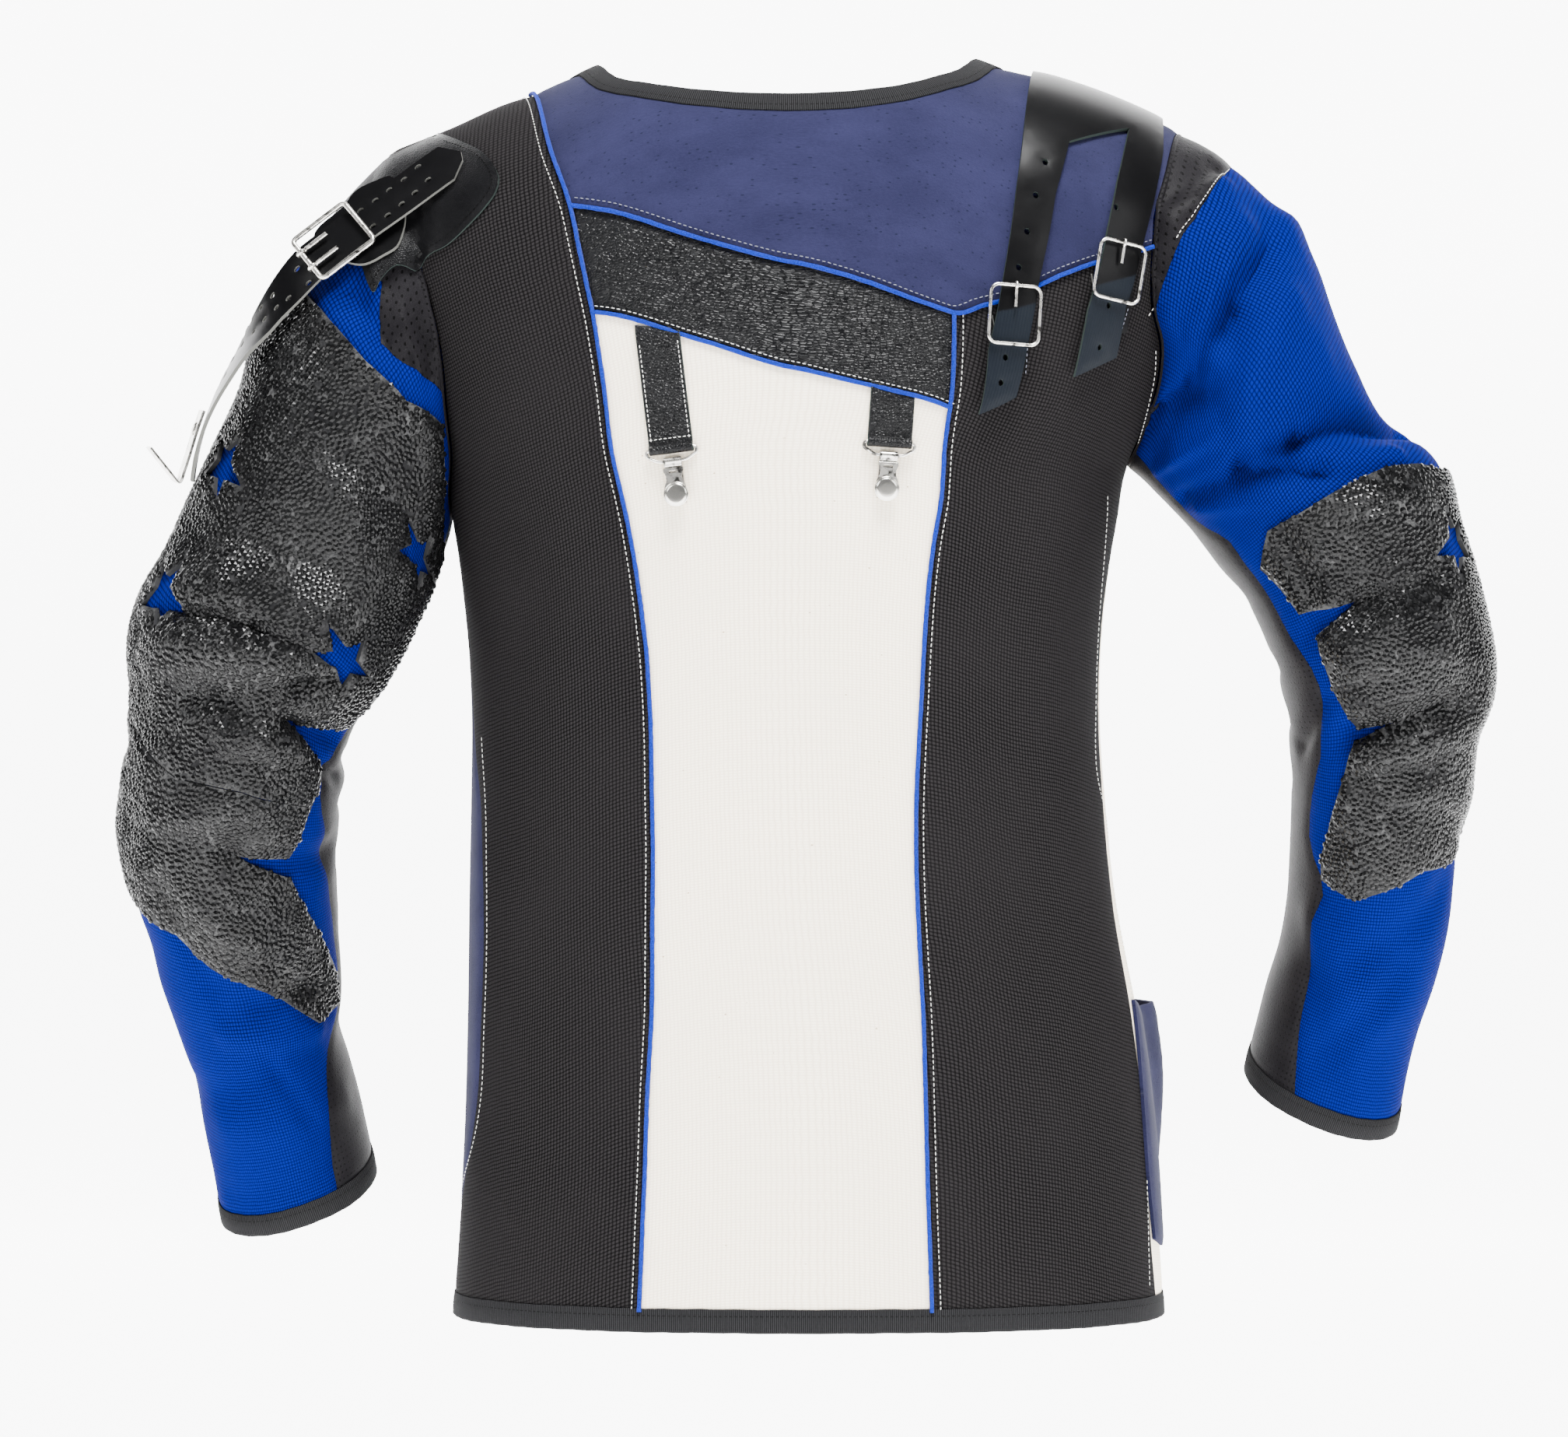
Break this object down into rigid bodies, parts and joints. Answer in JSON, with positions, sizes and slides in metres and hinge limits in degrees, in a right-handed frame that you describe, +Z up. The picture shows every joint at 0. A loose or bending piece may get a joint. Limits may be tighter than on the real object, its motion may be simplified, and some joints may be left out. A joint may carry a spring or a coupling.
{
  "type": "shooting jacket",
  "caption": "Target shooting jacket filled out with no wearer: hollow cloth body and bent sleeves, rubber elbow pads, buckled shoulder straps, sling strap with hook and garter clips",
  "frame": {"origin": "Between the shoulders, in the plane of the shoulder seams, where the wearer's shoulders carry the jacket", "axes": "+Z up; the back of the jacket faces -Y and its front faces +Y; +X towards the wearer's right"},
  "size_m": [0.7936, 0.2571, 0.7238],
  "materials": {
    "navy_suede": "navy suede with fine perforations",
    "black_canvas": "black plain-weave canvas",
    "cream_canvas": "cream plain-weave canvas",
    "blue_canvas": "royal blue plain-weave canvas",
    "black_leather": "semi-gloss grained black leather",
    "soft_leather": "soft perforated black leather",
    "pebbled_rubber": "dark grey pebbled rubber",
    "black_tape": "black ribbed woven tape",
    "blue_piping": "blue cloth-covered cord",
    "nickel": "polished nickel plate",
    "black_button": "black moulded button"
  },
  "bodies": {
    "jacket": {"back_band": "black_leather", "back_centre": "cream_canvas", "back_side_left": "black_canvas", "back_side_right": "black_canvas", "back_yoke": "navy_suede", "binding_cuff_left": "black_tape", "binding_cuff_right": "black_tape", "binding_hem": "black_tape", "binding_neck": "black_tape", "buckle_1": "nickel", "buckle_2": "nickel", "front_button_1": "black_button", "front_button_2": "black_button", "front_button_3": "black_button", "front_button_4": "black_button", "front_button_5": "black_button", "front_left": "navy_suede", "front_right": "cream_canvas", "garter_tab_left": "black_leather", "garter_tab_right": "black_leather", "gusset_left": "soft_leather", "gusset_right": "soft_leather", "pad_left_lower": "pebbled_rubber", "pad_left_upper": "pebbled_rubber", "pad_right": "pebbled_rubber", "piping_band": "blue_piping", "piping_left": "blue_piping", "piping_right": "blue_piping", "piping_yoke": "blue_piping", "piping_yoke_right": "blue_piping", "pocket_right": "navy_suede", "prong_1": "nickel", "prong_2": "nickel", "shoulder_patch": "black_leather", "shoulder_strap": "black_leather", "shoulder_tab_1": "black_leather", "shoulder_tab_2": "black_leather", "sleeve_left_under": "soft_leather", "sleeve_left_upper": "blue_canvas", "sleeve_right_under": "soft_leather", "sleeve_right_upper": "blue_canvas", "sling_base": "black_leather", "sling_buckle": "nickel", "sling_hook": "nickel", "sling_prong_1": "nickel", "sling_prong_2": "nickel", "sling_rivet": "nickel", "sling_strap": "black_leather"},
    "loop_left": {"clip_loop_left": "nickel"},
    "clip_left": {"clip_body_left": "nickel"},
    "lever_left": {"clip_lever_left": "nickel"},
    "loop_right": {"clip_loop_right": "nickel"},
    "clip_right": {"clip_body_right": "nickel"},
    "lever_right": {"clip_lever_right": "nickel"}
  },
  "joints": [
    {"name": "loop_swing_left", "type": "hinge", "parent": "jacket", "child": "loop_left", "pos_m": [-0.06606, -0.12111, -0.20839], "axis": [-0.9857, 0.1183, -0.1204], "range_deg": [0, 80]},
    {"name": "clip_swing_left", "type": "hinge", "parent": "loop_left", "child": "clip_left", "pos_m": [-0.06521, -0.12116, -0.21534], "axis": [-0.9857, 0.1183, -0.1204], "range_deg": [0, 45]},
    {"name": "lever_open_left", "type": "hinge", "parent": "clip_left", "child": "lever_left", "pos_m": [-0.06483, -0.12258, -0.21992], "axis": [-0.9857, 0.1183, -0.1204], "range_deg": [0, 45]},
    {"name": "loop_swing_right", "type": "hinge", "parent": "jacket", "child": "loop_right", "pos_m": [0.05577, -0.12176, -0.2051], "axis": [-0.9928, -0.1009, 0.0653], "range_deg": [0, 80]},
    {"name": "clip_swing_right", "type": "hinge", "parent": "loop_right", "child": "clip_right", "pos_m": [0.05527, -0.1214, -0.21207], "axis": [-0.9928, -0.1009, 0.0653], "range_deg": [0, 45]},
    {"name": "lever_open_right", "type": "hinge", "parent": "clip_right", "child": "lever_right", "pos_m": [0.05508, -0.12255, -0.21674], "axis": [-0.9928, -0.1009, 0.0653], "range_deg": [0, 45]}
  ]
}
